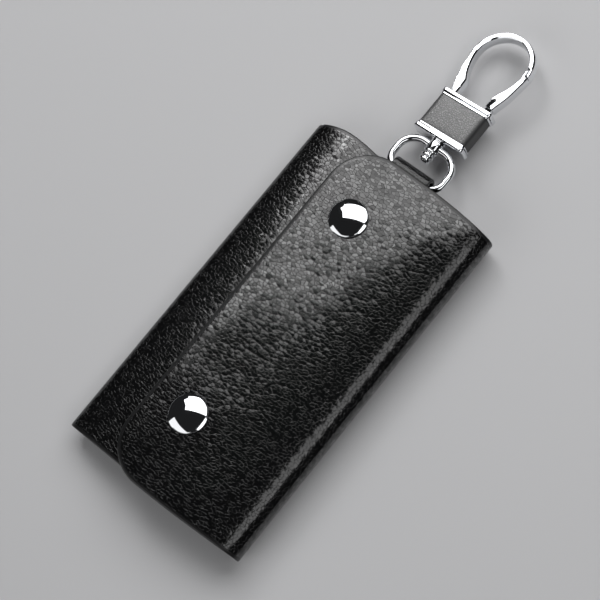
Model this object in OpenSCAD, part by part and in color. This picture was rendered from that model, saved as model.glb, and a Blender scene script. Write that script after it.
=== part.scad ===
// Leather key case with a wrap-over flap, two press snaps, a row of six key
// clips inside and a leather-sleeved swivel hook on a ring at its top end.
// Millimetres. The origin is the centre of the back's outer face. +X runs to
// the fold that the flap turns round, +Y to the hook, +Z out of the front.

/* [Case] */
// Width of the closed case, fold to fold
case_w = 68; // [64:1:76]
// Length of the case along its folds
case_l = 120; // [112:1:136]
// Clear height inside, between the linings
key_space_h = 8.2; // [7.8:0.2:12]
// Radius of the crease left open where two leather parts meet in a fold
fold_gap = 0.4; // [0.3:0.1:0.6]

/* [Leather] */
// Thickness of the outer leather
leather_t = 1.1; // [0.9:0.1:1.5]
// Thickness of the lining glued behind it
lining_t = 0.5; // [0.4:0.1:0.8]

/* [Flap] */
// Distance from the far fold to the flap's free edge
flap_inset = 16.5; // [14:0.5:20]
// Radius of the flap's two corners
flap_corner_r = 14; // [8:0.5:18]
// How far the flap's ends bow out past the case's ends
end_bow = 1.5; // [0:0.1:2]
// How far the free edge bends down from the snaps
edge_drop = 1.3; // [0.6:0.1:1.6]
// Width of the flat seat round the snaps
seat_w = 13; // [12.6:0.1:15]
// How far the flap dips beyond the inner leaf
valley_drop = 1.7; // [0.8:0.1:2.2]
// Where the bottom of that dip lies on the way from the snap seat to the fold
valley_share = 0.3; // [0.25:0.01:0.4]
// How far below the snap seat the roll beside the fold stands
roll_drop = 0.8; // [0.4:0.1:1.6]
// Where the top of the roll lies on the way from the snap seat to the fold
roll_share = 0.61; // [0.55:0.01:0.7]

/* [Inner leaf] */
// Width of the leaf under the flap, from its fold
leaf_w = 39; // [38:0.5:42]
// Radius of the leaf's corners
leaf_corner_r = 5; // [2:0.5:8]

/* [Snaps] */
// Distance from the case's upper end to the upper snap
snap_upper_inset = 20.9; // [19:0.1:24]
// Distance from the case's lower end to the lower snap
snap_lower_inset = 24.1; // [20:0.1:26]
// Distance from the flap's free edge to the snaps
snap_inset = 14.2; // [13:0.2:15]
// Diameter of the domed cap
cap_d = 12.2; // [11:0.2:12.4]
// Height of the domed cap
cap_h = 2.3; // [1.8:0.1:3]
// Height of the cap's rolled rim
cap_rim_h = 0.7; // [0.5:0.1:0.9]
// Radius of the cap's shank
cap_shank_r = 1.4; // [1.2:0.1:1.6]
// Diameter of the socket
socket_d = 10.4; // [9.6:0.2:11]
// Height of the socket
socket_h = 2.3; // [2.2:0.05:2.8]
// Radius of the socket's bore
socket_bore_r = 3.1; // [3.0:0.05:3.3]
// Radius of the spring wire in the socket
snap_wire_r = 0.28; // [0.24:0.02:0.32]
// Thickness of the stud's flange
stud_flange_t = 0.5; // [0.4:0.05:0.6]
// Diameter of the stud's flange
stud_flange_d = 9.4; // [8.6:0.2:10]
// Radius of the stud's head
stud_head_r = 1.95; // [1.8:0.05:2.05]
// Height of the stud above its flange
stud_h = 1.35; // [1.2:0.05:1.4]
// Radius of the eyelet's shank
eyelet_shank_r = 1.1; // [0.9:0.05:1.2]
// Thickness of the eyelet's flange
eyelet_flange_t = 0.6; // [0.4:0.05:0.8]
// Gap between the closed socket and the stud's flange
snap_clear = 0.3; // [0.25:0.05:0.4]

/* [Ring tab] */
// Width of the leather tab that holds the ring
tab_w = 14; // [11:0.5:14]
// Thickness of the tab's strip
tab_t = 1.15; // [1:0.05:1.3]
// Length of the tab inside the case
tab_l = 11; // [10:0.5:13]
// Radius of the tab's loop, inside
tab_bore_r = 1.9; // [1.9:0.05:2.2]
// Height of the loop's underside above the back's outer face
tab_lift = 3.2; // [3:0.05:3.4]
// Distance between the two tab rivets
tab_rivet_spacing = 7; // [6:0.5:8]

/* [Ring] */
// Distance from the case's end to the ring's lower bar
ring_inset = 2.9; // [2.9:0.1:3.4]
// Radius of the ring's wire
ring_wire_r = 1.2; // [1.1:0.05:1.3]
// Width of the ring between wire centres
ring_w = 19.4; // [18:0.2:21]
// Height of the ring between wire centres
ring_h = 11.6; // [11.2:0.1:12.4]
// Radius of the ring's lower corners, beside the tab
ring_lower_r = 3.4; // [3:0.1:3.6]
// Radius of the ring's upper corners
ring_upper_r = 6; // [5:0.1:6.8]
// Radius of the hub on the ring's upper bar
hub_r = 2.3; // [2.1:0.05:2.5]
// Length of the hub
hub_l = 2.8; // [2.6:0.1:3.2]

/* [Swivel post] */
// Radius of the post's shank
post_r = 1.2; // [1:0.05:1.3]
// Radius of the ribs on the post's head
post_rib_r = 2.4; // [2.2:0.05:2.6]
// Length of the post's head
post_head_l = 3.4; // [3:0.1:3.6]

/* [Hook body] */
// Width of the end bars
bar_w = 19.5; // [18.6:0.1:20.4]
// Thickness of the end bars, front to back
bar_t = 6.4; // [6:0.1:6.4]
// Length of each end bar along the hook
bar_l = 1.6; // [1.4:0.1:1.8]
// Length of the leather sleeve
sleeve_l = 11; // [10:0.1:12]
// Thickness of the sleeve's leather
sleeve_t = 0.6; // [0.5:0.05:0.7]
// Width of the sleeve
sleeve_w = 18.2; // [17.4:0.1:18.4]
// Thickness of the sleeve, front to back
sleeve_d = 6; // [5.6:0.1:6]
// Length of the step between a bar and the sleeve
step_l = 0.5; // [0.3:0.1:0.7]
// Height of the conical boss under the lower bar
boss_h = 0.7; // [0.6:0.1:0.9]

/* [Hook and gate] */
// Radius of the hook's loop at its centre line
loop_r = 9.9; // [9.4:0.1:10.4]
// Width of the loop's section
loop_w = 1.9; // [1.7:0.1:2]
// Thickness of the loop, front to back
loop_t = 4; // [3.6:0.1:4.2]
// Chamfer along the loop's edges
loop_chamfer = 0.45; // [0.3:0.05:0.5]
// Distance from the upper bar to the loop's centre
arm_l = 15.8; // [15.2:0.1:17]
// Radius of the gate's pin
pin_r = 0.8; // [0.7:0.05:0.9]
// Angle at which the hook is turned on its post, its gate side raised
hook_turn = 10; // [0:1:14]
// Thickness of the gate's tang
tang_t = 2.2; // [2:0.05:2.3]
// Radius of the wire of the gate's spring
spring_wire_r = 0.2; // [0.18:0.01:0.24]
// Radius of the gate's spring at its wire centre
spring_r = 0.8; // [0.7:0.05:0.85]

/* [Key hardware] */
// Gap between the key plate's ends and the start of the flap's fold
plate_side_gap = 0.35; // [0.3:0.05:1]
// Length of the key plate along the case
plate_l = 10; // [9:0.5:12]
// Thickness of the key plate
plate_t = 0.8; // [0.7:0.05:1]
// Distance from the case's end to the hanger rod
rod_inset = 24; // [24:0.5:28]
// Radius of the hanger rod
rod_r = 0.7; // [0.6:0.05:0.8]
// Wall of the rolled knuckles and of the clips' eyes
knuckle_t = 0.7; // [0.6:0.05:0.8]
// Number of key clips
clip_count = 6; // [6:1:6]
// Distance from the plate's ends to the first and the last clip
clip_inset = 5; // [4.5:0.1:5.4]
// Radius of the clips' wire
clip_wire_r = 0.75; // [0.65:0.05:0.8]
// Gap between the loops of neighbouring clips
clip_gap = 0.8; // [0.5:0.05:1]
// Length of a clip from its eye to its far end, at the wire centre
clip_l = 24; // [20:0.5:28]
// Width of a clip's eye
eye_w = 3.4; // [3:0.1:3.8]
// Radius of the plate's rivet heads
rivet_head_r = 2.4; // [2:0.1:2.6]
// Height of the rivet heads
rivet_head_h = 0.9; // [0.7:0.1:1.1]
// Radius of the rivets' shanks
rivet_shank_r = 1; // [0.8:0.05:1.1]
// Distance from the plate's ends to its two rivets
plate_rivet_inset = 4.5; // [4:0.1:5]

/* [Hidden] */

// Overrun of every cut past the face it opens
cut = 1;
// Radial clearance of a pin that turns in its bore
run_clear = 0.05;
// Segments in a quarter turn of a folded sheet
fold_steps = 12;
// Segments in each run of the flap's crown
crown_steps = 8;
// Segments of a true cylinder
round_fn = 48;

leather_colour = [0.07, 0.07, 0.08];
lining_colour = [0.12, 0.11, 0.11];
sleeve_colour = [0.32, 0.32, 0.33];
chrome_colour = [0.82, 0.83, 0.85];
steel_colour = [0.66, 0.67, 0.69];

sheet_t = leather_t + lining_t;
half_w = case_w / 2;
half_l = case_l / 2;

// Heights of the closed stack, from the back's outer face
leaf_top_z = 2 * sheet_t + key_space_h;
snap_gap = stud_flange_t + snap_clear + socket_h;
flap_top_z = leaf_top_z + snap_gap + sheet_t;
roll_top_z = flap_top_z - roll_drop;
valley_z = flap_top_z - valley_drop;
edge_z = flap_top_z - edge_drop;

// The fold that the leaf turns round, and the one that the flap turns round
leaf_fold_r = leaf_top_z / 2;
flap_fold_r = roll_top_z / 2;

flap_edge_x = flap_inset - half_w;
snap_x = flap_edge_x + snap_inset;
snap_ys = [half_l - snap_upper_inset, snap_lower_inset - half_l];
seat_x0 = snap_x - seat_w / 2;
seat_x1 = snap_x + seat_w / 2;
valley_x = seat_x1 + valley_share * (half_w - seat_x1);
roll_x = seat_x1 + roll_share * (half_w - seat_x1);
leaf_edge_x = leaf_w - half_w;

// The key plate fills the flat floor between the folds, and the clips share it
plate_w = 2 * (half_w - flap_fold_r - plate_side_gap);
clip_pitch = (plate_w - 2 * clip_inset) / (clip_count - 1);
clip_w = clip_pitch - 2 * clip_wire_r - clip_gap;
plate_rivet_spacing = plate_w - 2 * plate_rivet_inset;

// Points along an elliptical arc
function arc_points(cx, cz, rx, rz, from, to, steps) =
    [for (i = [0:steps]) let (a = from + (to - from) * i / steps)
        [cx + rx * cos(a), cz + rz * sin(a)]];

// Points that ease from one level to another, level at both ends
function ease_points(x0, z0, x1, z1, steps) =
    [for (i = [0:steps - 1]) let (t = i / steps)
        [x0 + (x1 - x0) * t, z0 + (z1 - z0) * (1 - cos(180 * t)) / 2]];

// Direction of a path at a point, from its neighbours
function heading(path, i) =
    let (a = path[max(0, i - 1)], b = path[min(len(path) - 1, i + 1)])
    (b - a) / norm(b - a);

// The path moved to its right by d: every outer face lies to its left
function inset_path(path, d) =
    [for (i = [0:len(path) - 1]) let (h = heading(path, i))
        path[i] + d * [h[1], -h[0]]];

function reversed(list) = [for (i = [len(list) - 1:-1:0]) list[i]];

// Half the angle that the open crease takes out of a fold
function crease_angle(r) = asin(fold_gap / 2 / r);

// Outer face of the back, from the flap's fold under to the leaf's fold
back_path = concat(
    arc_points(half_w - flap_fold_r, flap_fold_r, flap_fold_r, flap_fold_r,
        -crease_angle(flap_fold_r), -90, fold_steps),
    arc_points(leaf_fold_r - half_w, leaf_fold_r, leaf_fold_r, leaf_fold_r,
        -90, crease_angle(leaf_fold_r) - 180, fold_steps));

// Outer face of the inner leaf, from its fold to its free edge
leaf_path = concat(
    arc_points(leaf_fold_r - half_w, leaf_fold_r, leaf_fold_r, leaf_fold_r,
        180 - crease_angle(leaf_fold_r), 90, fold_steps),
    [[leaf_edge_x, leaf_top_z]]);

// Outer face of the flap, from its free edge over the snaps to its fold
edge_run = [for (i = [0:crown_steps - 1]) let (t = i / crown_steps)
    [flap_edge_x + (seat_x0 - flap_edge_x) * t,
     edge_z + (flap_top_z - edge_z) * sin(90 * t)]];
flap_path = concat(
    edge_run,
    [[seat_x0, flap_top_z]],
    ease_points(seat_x1, flap_top_z, valley_x, valley_z, crown_steps),
    ease_points(valley_x, valley_z, roll_x, roll_top_z, crown_steps),
    arc_points(roll_x, flap_fold_r, half_w - roll_x, flap_fold_r,
        90, crease_angle(flap_fold_r), fold_steps));

// A sheet between two depths behind a path, cut to a plan outline
module folded_sheet(path, from, to, length) {
    rotate([90, 0, 0])
        linear_extrude(height = length, center = true)
            polygon(concat(inset_path(path, from), reversed(inset_path(path, to))));
}

// How far the flap's end lies from the middle, at x
function flap_end_y(x) =
    let (bow_x = flap_edge_x + flap_corner_r)
    half_l + end_bow * cos(90 * max(0, x - bow_x) / (half_w - bow_x));

// One end of the flap, from the fold to the middle of the free edge
flap_end_steps = 10;
flap_end_points = concat(
    [for (i = [0:flap_end_steps - 1])
        let (x = half_w + (flap_corner_r + flap_edge_x - half_w) * i / flap_end_steps)
        [x, flap_end_y(x)]],
    arc_points(flap_edge_x + flap_corner_r, half_l + end_bow - flap_corner_r,
        flap_corner_r, flap_corner_r, 90, 180, fold_steps));

module flap_plan() {
    outline = concat(
        [[half_w + cut, half_l]],
        flap_end_points,
        [for (p = reversed(flap_end_points)) [p[0], -p[1]]],
        [[half_w + cut, -half_l]]);
    linear_extrude(height = flap_top_z + cut) polygon(outline);
}

module leaf_plan() {
    end_points = arc_points(leaf_edge_x - leaf_corner_r, half_l - leaf_corner_r,
        leaf_corner_r, leaf_corner_r, 0, 90, fold_steps);
    outline = concat(
        end_points,
        [[-half_w - cut, half_l], [-half_w - cut, -half_l]],
        [for (p = reversed(end_points)) [p[0], -p[1]]]);
    linear_extrude(height = leaf_top_z + cut) polygon(outline);
}

// Places its children at both snaps
module at_snaps() {
    for (y = snap_ys) translate([snap_x, y, 0]) children();
}

module round_bar(r, h) {
    cylinder(r = r, h = h, $fn = round_fn);
}

// A bar of radius r along X, centred
module x_bar(r, l) {
    rotate([0, 90, 0]) cylinder(r = r, h = l, center = true, $fn = round_fn);
}

// A bar of radius r along +Y
module y_bar(r, l, top_r = -1) {
    rotate([-90, 0, 0])
        cylinder(r1 = r, r2 = top_r < 0 ? r : top_r, h = l, $fn = round_fn);
}

module flap_sheet(from, to) {
    difference() {
        intersection() {
            folded_sheet(flap_path, from, to, case_l + 2 * (end_bow + cut));
            flap_plan();
        }
        at_snaps() round_bar(cap_shank_r, flap_top_z + cut);
    }
}

module leaf_sheet(from, to) {
    difference() {
        intersection() {
            folded_sheet(leaf_path, from, to, case_l + 2 * cut);
            leaf_plan();
        }
        at_snaps() round_bar(eyelet_shank_r, leaf_top_z + cut);
    }
}

module back_leather() {
    color(leather_colour) folded_sheet(back_path, 0, leather_t, case_l);
}

module back_lining() {
    color(lining_colour) difference() {
        folded_sheet(back_path, leather_t, sheet_t, case_l);
        at_plate_rivets() round_bar(rivet_shank_r, sheet_t + cut);
        at_tab_rivets() round_bar(rivet_shank_r, sheet_t + cut);
    }
}

module flap_leather() {
    color(leather_colour) flap_sheet(0, leather_t);
}

module flap_lining() {
    color(lining_colour) flap_sheet(leather_t, sheet_t);
}

module inner_leaf_leather() {
    color(leather_colour) leaf_sheet(0, leather_t);
}

module inner_leaf_lining() {
    color(lining_colour) leaf_sheet(leather_t, sheet_t);
}

// Snap fastener, each part turned about its own axis
cap_r = cap_d / 2;
socket_mouth_z = leaf_top_z + stud_flange_t + snap_clear;
socket_top_z = socket_mouth_z + socket_h;
socket_web_t = 0.45;
socket_lip_r = 0.35;
flare_t = 0.3;
flare_reach = 0.5;
flare_r = cap_shank_r + flare_reach;
groove_r = socket_bore_r + 2 * snap_wire_r;
groove_z = 0.5;
stud_undercut = 0.4;

// Dome of the cap as a spherical segment over its rim
dome_h = cap_h - cap_rim_h;
dome_r = (cap_r * cap_r + dome_h * dome_h) / (2 * dome_h);
dome_angle = asin(cap_r / dome_r);
dome_steps = 14;
cap_outline = concat(
    [[0, 0], [cap_r - cap_rim_h / 3, 0], [cap_r, cap_rim_h / 3]],
    [for (i = [0:dome_steps]) let (a = dome_angle * (1 - i / dome_steps))
        [dome_r * sin(a), cap_h - dome_r + dome_r * cos(a)]]);

module snap_cap(y) {
    shank_l = flap_top_z - socket_top_z + socket_web_t;
    color(chrome_colour) translate([snap_x, y, flap_top_z]) {
        rotate_extrude($fn = round_fn) polygon(cap_outline);
        translate([0, 0, -shank_l]) round_bar(cap_shank_r, shank_l);
        translate([0, 0, -shank_l - flare_t]) round_bar(flare_r, flare_t);
    }
}

module snap_socket(y) {
    outline = [[socket_bore_r, 0], [socket_d / 2 - socket_lip_r, 0],
        [socket_d / 2, socket_lip_r], [socket_d / 2, socket_h - socket_lip_r],
        [socket_d / 2 - socket_lip_r, socket_h], [cap_shank_r, socket_h],
        [cap_shank_r, socket_h - socket_web_t],
        [socket_bore_r, socket_h - socket_web_t],
        [socket_bore_r, groove_z + 2 * snap_wire_r],
        [groove_r, groove_z + 2 * snap_wire_r], [groove_r, groove_z],
        [socket_bore_r, groove_z]];
    color(steel_colour) translate([snap_x, y, socket_mouth_z])
        rotate_extrude($fn = round_fn) polygon(outline);
}

// Split ring of spring wire lying in the socket's groove
module snap_spring(y) {
    split_angle = 24;
    color(steel_colour)
        translate([snap_x, y, socket_mouth_z + groove_z + snap_wire_r])
            rotate([0, 0, split_angle / 2])
                rotate_extrude(angle = 360 - split_angle, $fn = round_fn)
                    translate([groove_r - snap_wire_r, 0])
                        circle(r = snap_wire_r, $fn = 16);
}

module snap_stud(y) {
    neck_r = stud_head_r - stud_undercut;
    neck_h = stud_h / 3;
    bore_h = stud_flange_t + stud_h / 2;
    outline = [[eyelet_shank_r, 0], [stud_flange_d / 2, 0],
        [stud_flange_d / 2, stud_flange_t / 2],
        [stud_flange_d / 2 - stud_flange_t / 2, stud_flange_t],
        [neck_r, stud_flange_t], [neck_r, stud_flange_t + neck_h],
        [stud_head_r, stud_flange_t + neck_h + stud_h / 5],
        [stud_head_r, stud_flange_t + stud_h * 3 / 4],
        [neck_r, stud_flange_t + stud_h], [0, stud_flange_t + stud_h],
        [0, bore_h], [eyelet_shank_r, bore_h]];
    color(steel_colour) translate([snap_x, y, leaf_top_z])
        rotate_extrude($fn = round_fn) polygon(outline);
}

module snap_eyelet(y) {
    eyelet_r = stud_flange_d / 2;
    shank_top = stud_flange_t + stud_h / 2;
    color(steel_colour) translate([snap_x, y, leaf_top_z - sheet_t]) {
        translate([0, 0, -eyelet_flange_t / 2]) round_bar(eyelet_r, eyelet_flange_t / 2);
        translate([0, 0, -eyelet_flange_t])
            cylinder(r1 = eyelet_r - eyelet_flange_t, r2 = eyelet_r,
                h = eyelet_flange_t / 2, $fn = round_fn);
        round_bar(eyelet_shank_r, sheet_t + shank_top);
    }
}

// Leather tab round the ring's lower bar
tab_out_r = tab_bore_r + tab_t;
ring_y = half_l + ring_inset;
ring_z = tab_lift + tab_out_r;
tab_rivet_y = half_l - tab_l / 2;

module at_tab_rivets() {
    for (side = [-1, 1])
        translate([side * tab_rivet_spacing / 2, tab_rivet_y, 0]) children();
}

module ring_tab() {
    strip_y0 = half_l - tab_l;
    color(leather_colour) difference() {
        union() {
            translate([-tab_w / 2, strip_y0, sheet_t])
                cube([tab_w, ring_y - strip_y0, 2 * tab_t]);
            translate([0, ring_y, ring_z]) x_bar(tab_out_r, tab_w);
        }
        translate([0, ring_y, ring_z]) x_bar(tab_bore_r, tab_w + 2 * cut);
        at_tab_rivets() round_bar(rivet_shank_r, sheet_t + 2 * tab_t + cut);
    }
}

// A dome-headed rivet whose head stands on z and whose shank ends at shank_z
module rivet(z, shank_z) {
    translate([0, 0, shank_z]) round_bar(rivet_shank_r, z - shank_z);
    translate([0, 0, z]) {
        round_bar(rivet_head_r, rivet_head_h / 2);
        translate([0, 0, rivet_head_h / 2])
            cylinder(r1 = rivet_head_r, r2 = rivet_head_r / 2,
                h = rivet_head_h / 2, $fn = round_fn);
    }
}

module tab_rivets() {
    color(steel_colour) at_tab_rivets() rivet(sheet_t + 2 * tab_t, leather_t);
}

// Key plate, with its lower edge rolled into knuckles round the rod
rod_y = half_l - rod_inset;
knuckle_r = rod_r + run_clear + knuckle_t;
rod_z = sheet_t + knuckle_r;
plate_rivet_y = rod_y + plate_l / 2 + knuckle_r;
eye_side_clear = 0.2;
eye_slot_w = eye_w + 2 * eye_side_clear;
function clip_x(i) = (i - (clip_count - 1) / 2) * clip_pitch;

module at_plate_rivets() {
    for (side = [-1, 1])
        translate([side * plate_rivet_spacing / 2, plate_rivet_y, 0]) children();
}

module key_plate() {
    corner_r = 2;
    plate_y0 = rod_y;
    plate_y1 = rod_y + knuckle_r + plate_l;
    color(chrome_colour) difference() {
        union() {
            translate([-plate_w / 2, plate_y0, sheet_t])
                cube([plate_w, plate_y1 - corner_r - plate_y0, plate_t]);
            translate([corner_r - plate_w / 2, plate_y0, sheet_t])
                cube([plate_w - 2 * corner_r, plate_y1 - plate_y0, plate_t]);
            for (side = [-1, 1])
                translate([side * (plate_w / 2 - corner_r), plate_y1 - corner_r, sheet_t])
                    round_bar(corner_r, plate_t);
            translate([0, rod_y, rod_z]) x_bar(knuckle_r, plate_w);
        }
        translate([0, rod_y, rod_z]) x_bar(rod_r, plate_w + 2 * cut);
        for (i = [0:clip_count - 1])
            translate([clip_x(i) - eye_slot_w / 2, rod_y - knuckle_r - cut, sheet_t - cut])
                cube([eye_slot_w, 2 * knuckle_r + cut + knuckle_t / 2,
                    2 * knuckle_r + 2 * cut]);
        at_plate_rivets() round_bar(rivet_shank_r, rod_z + cut);
    }
}

module plate_rivets() {
    color(steel_colour) at_plate_rivets() rivet(sheet_t + plate_t, leather_t);
}

module hanger_rod() {
    color(steel_colour) translate([0, rod_y, rod_z]) x_bar(rod_r, plate_w);
}

// Spring-wire clip: an eye on the rod, a neck and a long loop whose free
// end springs shut against the neck
module key_clip(i) {
    loop_half_w = clip_w / 2;
    neck_l = 1.5 * knuckle_r;
    shoulder_r = loop_half_w;
    shoulder_y = -neck_l - shoulder_r;
    foot_y = loop_half_w - clip_l;
    tip_angle = 62;
    color(chrome_colour) translate([clip_x(i - 1), rod_y, rod_z]) {
        difference() {
            union() {
                x_bar(knuckle_r, eye_w);
                translate([0, -neck_l - clip_wire_r, 0])
                    y_bar(clip_wire_r, neck_l + clip_wire_r - rod_r);
            }
            x_bar(rod_r + run_clear, eye_w + 2 * cut);
        }
        translate([0, shoulder_y, 0]) {
            rotate([0, 0, 90]) wire_arc(shoulder_r, 90);
            wire_arc(shoulder_r, tip_angle);
            rotate([0, 0, tip_angle]) translate([shoulder_r, 0, 0])
                sphere(r = clip_wire_r, $fn = round_fn);
        }
        translate([0, foot_y, 0]) {
            rotate([0, 0, 180]) wire_arc(loop_half_w, 180);
            for (side = [-1, 1]) translate([side * loop_half_w, 0, 0])
                y_bar(clip_wire_r, shoulder_y - foot_y);
        }
    }
}

// An arc of clip wire in the XY plane, from +X round by angle
module wire_arc(r, angle) {
    rotate_extrude(angle = angle, $fn = round_fn)
        translate([r, 0]) circle(r = clip_wire_r, $fn = 24);
}

// D-shaped ring with a hub on its upper bar
ring_top_y = ring_y + ring_h;
hub_y0 = ring_top_y - hub_l / 2;
hub_y1 = hub_y0 + hub_l;

// A quarter bend of the ring's wire, turned to start at an angle
module ring_corner(side, y, r, start) {
    translate([side * (ring_w / 2 - r), y, 0]) rotate([0, 0, start])
        rotate_extrude(angle = 90, $fn = round_fn)
            translate([r, 0]) circle(r = ring_wire_r, $fn = 24);
}

module swivel_ring() {
    color(chrome_colour) translate([0, 0, ring_z]) difference() {
        union() {
            for (side = [-1, 1]) {
                ring_corner(side, ring_y + ring_lower_r, ring_lower_r, side > 0 ? -90 : 180);
                ring_corner(side, ring_top_y - ring_upper_r, ring_upper_r, side > 0 ? 0 : 90);
                translate([side * ring_w / 2, ring_y + ring_lower_r, 0])
                    y_bar(ring_wire_r, ring_h - ring_lower_r - ring_upper_r);
            }
            translate([0, ring_y, 0]) x_bar(ring_wire_r, ring_w - 2 * ring_lower_r);
            translate([0, ring_top_y, 0]) x_bar(ring_wire_r, ring_w - 2 * ring_upper_r);
            translate([0, hub_y0, 0]) y_bar(hub_r, hub_l);
        }
        translate([0, hub_y0 - cut, 0]) y_bar(post_r + run_clear, hub_l + 2 * cut);
    }
}

// Post that is fixed in the hook and turns in the hub
post_gap = 0.1;
post_seat_l = bar_l;
body_y = hub_y1 + post_gap + boss_h;

// Turns what the post carries about the post's axis
module on_post() {
    translate([0, 0, ring_z]) rotate([0, -hook_turn, 0])
        translate([0, 0, -ring_z]) children();
}

module swivel_post() {
    rib_l = post_head_l / 3;
    head_y1 = hub_y0 - post_gap;
    color(chrome_colour) translate([0, 0, ring_z]) {
        translate([0, head_y1, 0])
            y_bar(post_r, body_y + post_seat_l - head_y1);
        for (i = [0:1])
            translate([0, head_y1 - (2 * i + 1) * rib_l, 0])
                y_bar(post_rib_r - i * rib_l / 4, rib_l);
        translate([0, head_y1 - 2 * rib_l, 0])
            y_bar(post_r + rib_l / 4, 2 * rib_l);
        translate([0, head_y1 - post_head_l, 0])
            y_bar(post_r / 2, rib_l, post_r + rib_l / 4);
    }
}

// A rounded rectangle w wide and d deep, extruded along +Y
module y_block(w, d, r, l) {
    rotate([-90, 0, 0]) linear_extrude(height = l) {
        square([w - 2 * r, d], center = true);
        square([w, d - 2 * r], center = true);
        for (sx = [-1, 1], sy = [-1, 1])
            translate([sx * (w / 2 - r), sy * (d / 2 - r)]) circle(r = r, $fn = 32);
    }
}

// The body: two bars with steps, and a core between them for the sleeve
sleeve_y = body_y + bar_l + step_l;
upper_bar_y = sleeve_y + sleeve_l + step_l;
arm_y = upper_bar_y + bar_l;
loop_y = arm_y + arm_l;
bar_corner_r = 1.4;
core_w = sleeve_w - 2 * sleeve_t;
core_d = sleeve_d - 2 * sleeve_t;
core_corner_r = 0.9;
step_w = (bar_w + sleeve_w) / 2;
step_d = (bar_t + sleeve_d) / 2;

// Where the gate turns, inside the core
tang_r = 1.4;
tang_clear = 0.3;
slot_side_clear = 0.15;
slot_wall = 0.4;
slot_reach = 3.1;
pivot_depth = 2.4;
slot_t = tang_t + 2 * slot_side_clear;
slot_x1 = core_w / 2 - slot_wall;
pivot_x = slot_x1 - tang_clear - tang_r;
pivot_y = upper_bar_y - pivot_depth;
slot_x0 = pivot_x - slot_reach;
slot_y0 = pivot_y - tang_r - tang_clear;

// Outline of one arm: distance along it as a share of arm_l, then where its
// outer and inner edges lie as shares of the loop's outer and inner radius
arm_shares = [[0, 0.66, 0.60], [0.18, 0.78, 0.60], [0.36, 0.865, 0.615],
    [0.47, 0.905, 0.74], [0.60, 0.935, 0.85], [0.74, 0.96, 0.93],
    [0.88, 0.988, 0.985], [1, 1, 1]];
loop_out_r = loop_r + loop_w / 2;
loop_in_r = loop_r - loop_w / 2;

// Cross-sections as [outer edge, inner edge] pairs in the hook's plane
function arm_sections(side) =
    [for (s = arm_shares) let (y = arm_y + arm_l * s[0])
        [[side * loop_out_r * s[1], y], [side * loop_in_r * s[2], y]]];

function loop_sections(from, to, out_r, in_r, steps) =
    [for (i = [0:steps]) let (a = from + (to - from) * i / steps)
        [[out_r * cos(a), loop_y + out_r * sin(a)],
         [in_r * cos(a), loop_y + in_r * sin(a)]]];

// Eight corners of a chamfered section between an outer and an inner edge
function section_ring(pair, t, c) =
    let (u = (pair[1] - pair[0]) / norm(pair[1] - pair[0]),
         a = pair[0], b = pair[1], ac = a + c * u, bc = b - c * u, h = t / 2)
    [[a[0], a[1], c - h], [ac[0], ac[1], -h], [bc[0], bc[1], -h],
     [b[0], b[1], c - h], [b[0], b[1], h - c], [bc[0], bc[1], h],
     [ac[0], ac[1], h], [a[0], a[1], h - c]];

// Solid lofted through chamfered sections. turn is 1 where the sections run
// anticlockwise with the outer edge on their right, and -1 otherwise
module lofted(sections, t, c, turn) {
    n = len(sections);
    points = [for (s = sections) each section_ring(s, t, c)];
    sides = [for (i = [0:n - 2], k = [0:7])
        let (a = 8 * i + k, b = 8 * i + (k + 1) % 8, d = a + 8, e = b + 8)
        each turn > 0 ? [[a, e, b], [a, d, e]] : [[a, b, e], [a, e, d]]];
    first = [for (k = [0:7]) turn > 0 ? k : 7 - k];
    last = [for (k = [0:7]) 8 * (n - 1) + (turn > 0 ? 7 - k : k)];
    polyhedron(points, concat(sides, [first, last]));
}

nose_angle = 15;
nose_end_angle = 0.6;
lip_gap = 0.25;
lip_w = (loop_w - lip_gap) / 2;
loop_steps = 26;

// Fixed half of the hook: an arm, the loop and the thin nose at its end
module hook_arm() {
    translate([0, 0, ring_z]) {
        lofted(concat(
            [[[-loop_out_r * arm_shares[0][1], arm_y - bar_l / 2],
              [-loop_in_r * arm_shares[0][2], arm_y - bar_l / 2]]],
            arm_sections(-1),
            [for (i = [1:loop_steps]) loop_sections(180, nose_angle,
                loop_out_r, loop_in_r, loop_steps)[i]]), loop_t, loop_chamfer, -1);
        lofted(loop_sections(nose_angle + 2, nose_end_angle, loop_out_r,
            loop_out_r - lip_w, 4), loop_t, loop_chamfer / 2, -1);
    }
}

module hook_body() {
    color(chrome_colour) on_post() {
        difference() {
            union() {
                translate([0, body_y, ring_z])
                    y_block(bar_w, bar_t, bar_corner_r, bar_l);
                translate([0, body_y + bar_l, ring_z])
                    y_block(step_w, step_d, bar_corner_r, step_l);
                translate([0, sleeve_y, ring_z])
                    y_block(core_w, core_d, core_corner_r, sleeve_l);
                translate([0, sleeve_y + sleeve_l, ring_z])
                    y_block(step_w, step_d, bar_corner_r, step_l);
                translate([0, upper_bar_y, ring_z])
                    y_block(bar_w, bar_t, bar_corner_r, bar_l);
                translate([0, body_y - boss_h, ring_z])
                    y_bar(hub_r, boss_h, hub_r + boss_h / 2);
            }
            translate([0, body_y - boss_h - cut, ring_z])
                y_bar(post_r, boss_h + cut + post_seat_l);
            translate([slot_x0, slot_y0, ring_z - slot_t / 2])
                cube([slot_x1 - slot_x0, arm_y - slot_y0 + cut, slot_t]);
            translate([pivot_x, pivot_y, ring_z - core_d / 2 - cut])
                round_bar(pin_r, core_d + 2 * cut);
            spring_pocket();
        }
        hook_arm();
    }
}

spring_offset = 0.4;
spring_l = 4.8;
spring_clear = 0.1;
spring_tip_gap = 0.45;
spring_turns = 5;
spring_y = pivot_y + spring_offset;
spring_x1 = pivot_x - tang_r - spring_tip_gap;
spring_x0 = spring_x1 - spring_l;

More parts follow.
